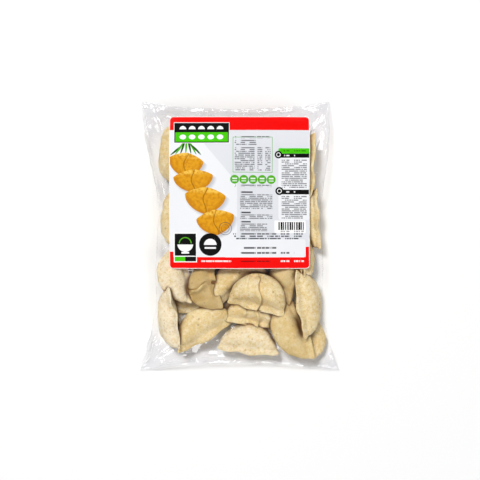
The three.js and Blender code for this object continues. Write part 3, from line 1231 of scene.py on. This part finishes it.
    def fried_gyoza(self, x, y, half_length, height, tilt):
        """One gold half-moon with a pale lip, a browned belly, a fold and a soft shade."""
        reach, _, _ = self.moon(x + 2.5, y + 2.5, half_length, height, tilt)
        self.ink(self.ramp(reach, 1.2, 0.8), SHADE, 0.6)
        reach, along, rise = self.moon(x, y, half_length, height, tilt)
        mask = self.edge(self.math("MULTIPLY", self.math("SUBTRACT", 1.0, reach), height / 2))
        patch = self.add("TexNoise", Vector=self.spot, Scale=0.3, Detail=3.0).outputs["Fac"]
        browning = self.math("MULTIPLY", self.ramp(patch, 0.38, 0.7), 0.55)
        gold = self.blend(browning, GOLD, BROWNED)
        lip = self.both(self.ramp(rise, 0.1 * height, -0.1 * height), self.ramp(patch, 0.7, 0.35))
        gold = self.blend(self.math("MULTIPLY", lip, 0.8), gold, SHINE)
        belly = self.both(self.ramp(reach, 0.55, 1.0), self.ramp(rise, 0.0, 0.4 * height))
        gold = self.blend(self.math("MULTIPLY", belly, 0.6), gold, BROWNED)
        sway = self.math("SINE", self.math("MULTIPLY", rise, 0.25))
        curve = self.math("MULTIPLY_ADD", sway, 2.0, along)
        fold = self.ramp(self.math("ABSOLUTE", curve), 0.9, 0.2)
        gold = self.blend(self.math("MULTIPLY", fold, 0.6), gold, CRISP)
        self.ink(mask, gold)


# %% Fields of colour
plate = Plates("label_fields")
plate.ink(plate.both(plate.side(35.5, 28, 50), plate.field(0, 13, 70, 150)), PALE)
plate.fields(
    (RED, -5, -5, 150, 14.5),
    (RED, -5, 145.6, 150, 165),
    (RED, -5, 140, 4.2, 165),
    (RED, 140.8, 135, 150, 165),
)
plate.close()

# %% Title block and leaves
plate = Plates("label_title")
LEAVES = 7
for number in range(LEAVES):
    share = number / (LEAVES - 1)
    tilt = -40 - 95 * share
    reach, _, _ = plate.moon(7 + 20 * share, 35 - 4 * math.sin(math.pi * share), 8, 1.7, tilt)
    blade = plate.edge(plate.math("SUBTRACT", 1.0, reach))
    plate.ink(blade, LEAF if number % 2 else DARK_LEAF)
plate.fields(
    (WHITE, 4.6, 6.2, 62.2, 28.2),
    (BLACK, 5.2, 6.8, 61.6, 27.6),
    (GREEN, 6.2, 16.8, 60.6, 26.6),
)
folded, span = plate.row_of(14.0, 9.6, 5)
level = plate.math("SUBTRACT", plate.down, 13.6)
dome = plate.add("CombineXYZ", X=folded, Y=level).outputs[0]
round_top = plate.edge(plate.math("SUBTRACT", 3.5, plate.vector("LENGTH", dome, output=1)))
upper = plate.edge(plate.math("MULTIPLY", level, -1.0))
plate.ink(plate.both(plate.both(round_top, upper), span), WHITE)
level = plate.math("SUBTRACT", plate.down, 21.7)
bead = plate.add("CombineXYZ", X=plate.math("MULTIPLY", folded, 0.75), Y=level).outputs[0]
oval = plate.edge(plate.math("SUBTRACT", 2.5, plate.vector("LENGTH", bead, output=1)))
plate.ink(plate.both(oval, span), WHITE)
plate.close()

# %% Picture of fried gyoza
plate = Plates("label_picture")
for x, y, half_length, height, tilt in (
    (18.0, 43, 18.0, 20, 8),
    (24.5, 60, 20.5, 19, -3),
    (37.5, 79, 21.0, 22, 4),
    (47.0, 102, 19.5, 21, -7),
):
    plate.fried_gyoza(x, y, half_length, height, tilt)
plate.ink(plate.ring(57.9, 116.2, 6.4, 0.7), SMALL_PRINT, 0.7)
plate.ink(plate.ring(57.9, 116.2, 4.0, 0.6), SMALL_PRINT, 0.6)
plate.close()

# %% Panels of small print
plate = Plates("label_small_print")
plate.ink(plate.field(65.5, 21.6, 106.6, 58.4), LEAF, 0.85)
plate.ink(plate.field(66.1, 22.2, 106.0, 57.8), GREY)
plate.small_print(68, 20.6, 104, 23.2, 2.0)
plate.small_print(67.5, 24.5, 90, 30.0, 2.0)
plate.small_print(67.5, 32.0, 88, 57.0, 1.9)
plate.small_print(91, 32.0, 96, 57.0, 1.9)
plate.small_print(99, 32.0, 104.5, 57.0, 1.9)
folded, span = plate.row_of(67.5, 9.43, 5)
level = plate.math("SUBTRACT", plate.down, 65.5)
bead = plate.add("CombineXYZ", X=folded, Y=level).outputs[0]
away = plate.vector("LENGTH", bead, output=1)
plate.ink(plate.both(plate.edge(plate.math("SUBTRACT", 4.6, away)), span), LEAF)
for offset, half_height in ((-1.0, 0.75), (1.6, 0.45)):
    bar = plate.band(half_height, plate.math("SUBTRACT", level, offset))
    short = plate.band(2.4, folded)
    plate.ink(plate.both(plate.both(bar, short), span), WHITE, 0.85)
plate.small_print(67, 70.6, 106, 73.2, 2.0)
plate.small_print(73, 77.4, 86, 80.2, 2.8, BLACK, 0.9)
plate.small_print(73, 80.6, 106.4, 96.0, 1.75)
plate.small_print(73, 98.4, 84, 101.2, 2.8, BLACK, 0.9)
plate.small_print(73, 101.4, 106.4, 106.2, 1.75)
plate.small_print(73, 108.0, 84, 110.6, 2.6, BLACK, 0.9)
plate.small_print(73, 110.8, 101, 118.8, 1.75)
plate.small_print(66, 120.6, 138, 128.0, 2.4, SMALL_PRINT, 0.95)
plate.close()

# %% Cooking panel
plate = Plates("label_cooking")
plate.ink(plate.field(112.7, 33.3, 150, 107.4, 2.5), PALE)
plate.ink(plate.field(112.7, 33.3, 150, 38.8, 1.2), GREEN)
plate.small_print(118, 35.0, 141, 37.4, 2.2, BLACK, 0.55)
for top, bottom, x, radius in ((38.8, 43.0, 112.7, 3.9), (75.9, 80.7, 113.7, 4.2)):
    middle = (top + bottom) / 2
    plate.ink(plate.field(x, top, 150, bottom), BLACK)
    plate.ink(plate.disc(x, middle - 1, radius), BLACK)
    plate.ink(plate.ring(x, middle - 1, radius * 0.5, 0.7), WHITE)
    plate.small_print(x + 6, middle - 1.2, x + 17, middle + 1.2, 2.4, WHITE, 0.9)
plate.small_print(116, 44.8, 142, 74.0, 1.85)
plate.small_print(116, 82.2, 142, 106.0, 1.85)
plate.close()

# %% Bar stripes, stamp box and badges
plate = Plates("label_badges")
plate.ink(plate.field(108.5, 107.8, 141, 120.8, 1.0), WHITE)
BAR_PITCH = 2.3
across = plate.math("DIVIDE", plate.right, BAR_PITCH)
column = plate.math("FLOOR", across)
chance = plate.add("TexWhiteNoise", {"noise_dimensions": "1D"}, W=column).outputs["Value"]
share = plate.math("MULTIPLY_ADD", chance, 0.5, 0.4)
bars = plate.math("LESS_THAN", plate.math("FRACT", across), share)
plate.ink(plate.both(plate.field(112.7, 109.4, 139.8, 117.6), bars), BLACK)
plate.small_print(113, 118.0, 139, 120.4, 2.4, BLACK, 0.6)
plate.ink(plate.field(55.9, 127.2, 140.8, 145.8, 2.2), PALE)
plate.small_print(77, 134.6, 113, 137.8, 3.2, BLACK, 0.85)
plate.small_print(69, 139.8, 129, 143.0, 3.2, BLACK, 0.85)
plate.small_print(33, 148.4, 64, 151.6, 3.0, WHITE, 0.8)
plate.small_print(73, 148.8, 104, 151.2, 2.4, BLACK, 0.6)
plate.small_print(114, 148.4, 139, 151.6, 3.0, WHITE, 0.9)
plate.fields(
    (WHITE, 4.5, 120.4, 28.6, 151.0),
    (BLACK, 5.5, 121.4, 27.6, 144.2),
    (GREEN, 5.5, 145.2, 27.6, 150.0),
    (BLACK, 16.5, 145.2, 27.6, 150.0),
)
bowl = plate.both(plate.disc(16.5, 132, 8.2), plate.side(16.5, 132.6, 0))
plate.ink(bowl, WHITE)
plate.ink(plate.both(plate.ring(16.5, 131.6, 6.2, 1.0), plate.side(16.5, 131.4, 180)), LEAF)
plate.ink(plate.field(12.5, 140.2, 20.5, 142.0), WHITE)
plate.ink(plate.disc(42.4, 132.6, 11.6), BLACK)
plate.ink(plate.both(plate.disc(42.4, 133.2, 6.6), plate.side(42.4, 133.0, 180)), WHITE)
plate.ink(plate.field(36.4, 135.2, 48.4, 137.0, 0.8), WHITE)
plate.close()

# %% Coated paper
DIE_CUT_MARGIN = 0.5
plate = Plates("label_margin")
far_x = LABEL_WIDTH - DIE_CUT_MARGIN
far_y = LABEL_HEIGHT - DIE_CUT_MARGIN
inner = plate.field(DIE_CUT_MARGIN, DIE_CUT_MARGIN, far_x, far_y, LABEL_CORNER - DIE_CUT_MARGIN)
plate.ink(plate.math("SUBTRACT", 1.0, inner), WHITE)
plate.close()

label_print = new_material("label_print")
make = Nodes(label_print)
printed = GREY
for plate in plates:
    group = make.add("Group", {"node_tree": plate.tree})
    make.wire(printed, group.inputs[0])
    printed = group.outputs[0]
shader = make.add("BsdfPrincipled", Base_Color=printed)
shader.inputs["Roughness"].default_value = 0.42
shader.inputs["Specular IOR Level"].default_value = 0.05
make.wire(shader.outputs[0], make.add("OutputMaterial").inputs["Surface"])
label.data.materials.append(label_print)
print("label printed with", len(plates), "plates")

# %% [markdown]
# The studio is plain: a pale floor, two soft lamps for the even light, and two rings of lamps
# that only show as glints in the film. The soft lamps are hidden from reflections, as a
# photographer does with a polariser, or the film would turn white under them.

# %% Floor and soft lamps
bpy.ops.object.select_all(action="DESELECT")
bpy.ops.mesh.primitive_plane_add(size=4)
floor = bpy.context.object
floor.name = "floor"
pale = new_material("pale_floor")
make = Nodes(pale)
shader = make.add("BsdfPrincipled")
shader.inputs["Base Color"].default_value = (0.96, 0.96, 0.96, 1)
shader.inputs["Roughness"].default_value = 0.9
shader.inputs["Specular IOR Level"].default_value = 0.0
make.wire(shader.outputs[0], make.add("OutputMaterial").inputs["Surface"])
floor.data.materials.append(pale)


def lamp(name, place, width, height, watts, mirrored):
    """A rectangular lamp that faces the bag, either for its light or for its mirror image."""
    data = bpy.data.lights.new(name, "AREA")
    data.shape = "RECTANGLE"
    data.size = width
    data.size_y = height
    data.energy = watts
    item = bpy.data.objects.new(name, data)
    bpy.context.collection.objects.link(item)
    item.location = place
    item.rotation_euler = Vector(place).to_track_quat("Z", "Y").to_euler()
    item.visible_glossy = mirrored
    item.visible_diffuse = not mirrored


KEY_PLACE = (-0.9, 1.35, 3.85)
KEY_SIDE = 0.9
KEY_WATTS = 129
FILL_PLACE = (1.6, -2.0, 3.4)
FILL_SIDE = 2.0
FILL_WATTS = 40
lamp("key", KEY_PLACE, KEY_SIDE, KEY_SIDE, KEY_WATTS, False)
lamp("fill", FILL_PLACE, FILL_SIDE, FILL_SIDE, FILL_WATTS, False)
print("two soft lamps over a floor of 4 m")

# %% Lamps that show in the film
GLINT_LAMPS = 4
GLINT_RINGS = [
    # first place round the bag and lean from overhead in degrees, width and height in metres
    (60, 37, 0.5, 0.5), (20, 65, 0.6, 0.4),
]
GLINT_DISTANCE = 1.4
GLINT_WATTS = 32
AMBIENT = 0.22
for ring, (first, lean, width, height) in enumerate(GLINT_RINGS):
    for number in range(GLINT_LAMPS):
        around = math.radians(first + 360 / GLINT_LAMPS * number)
        level = GLINT_DISTANCE * math.sin(math.radians(lean))
        above = GLINT_DISTANCE * math.cos(math.radians(lean))
        spot = (level * math.cos(around), level * math.sin(around), above)
        lamp(f"glint_{ring}_{number}", spot, width, height, GLINT_WATTS * width * height, True)
world = bpy.data.worlds.new("studio")
world.use_nodes = True
background = world.node_tree.nodes["Background"]
background.inputs["Color"].default_value = (1, 1, 1, 1)
background.inputs["Strength"].default_value = AMBIENT
bpy.context.scene.world = world
bpy.context.scene.view_settings.view_transform = "Standard"
bpy.context.scene.cycles.transparent_max_bounces = 24
bpy.context.scene.cycles.use_denoising = True
print(GLINT_LAMPS * len(GLINT_RINGS), "lamps show in the film")

# %% [markdown]
# The photograph looks straight down on the bag, so the camera hangs over it and needs no turn.
# It hangs high, with a long lens, because the photograph shows hardly any of the bag's sides.

# %% Camera
CAMERA_HEIGHT = 1.6
CAMERA_MIDDLE = (0.0005, -0.0042)
FRAME_WIDTH = 0.499
FRAME_LEVEL = 0.03
camera_data = bpy.data.cameras.new("camera")
camera_data.sensor_width = 36
camera_data.lens = camera_data.sensor_width * (CAMERA_HEIGHT - FRAME_LEVEL) / FRAME_WIDTH
camera = bpy.data.objects.new("camera", camera_data)
bpy.context.collection.objects.link(camera)
camera.location = (*CAMERA_MIDDLE, CAMERA_HEIGHT)
bpy.context.scene.camera = camera
print("camera looks down from", CAMERA_HEIGHT, "m")

# %% [markdown]
# Last, every piece is tied to the CAD frame. The bag has no joints, so all of them ride on its
# one body. The dumplings and the film stand for the solid bag, and the sheet for the label.

# %% Hand over
for gyoza in pieces:
    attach(gyoza, "root")
    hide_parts("bag")
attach(film, "root")
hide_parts("bag")
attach(label, "root")
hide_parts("label")
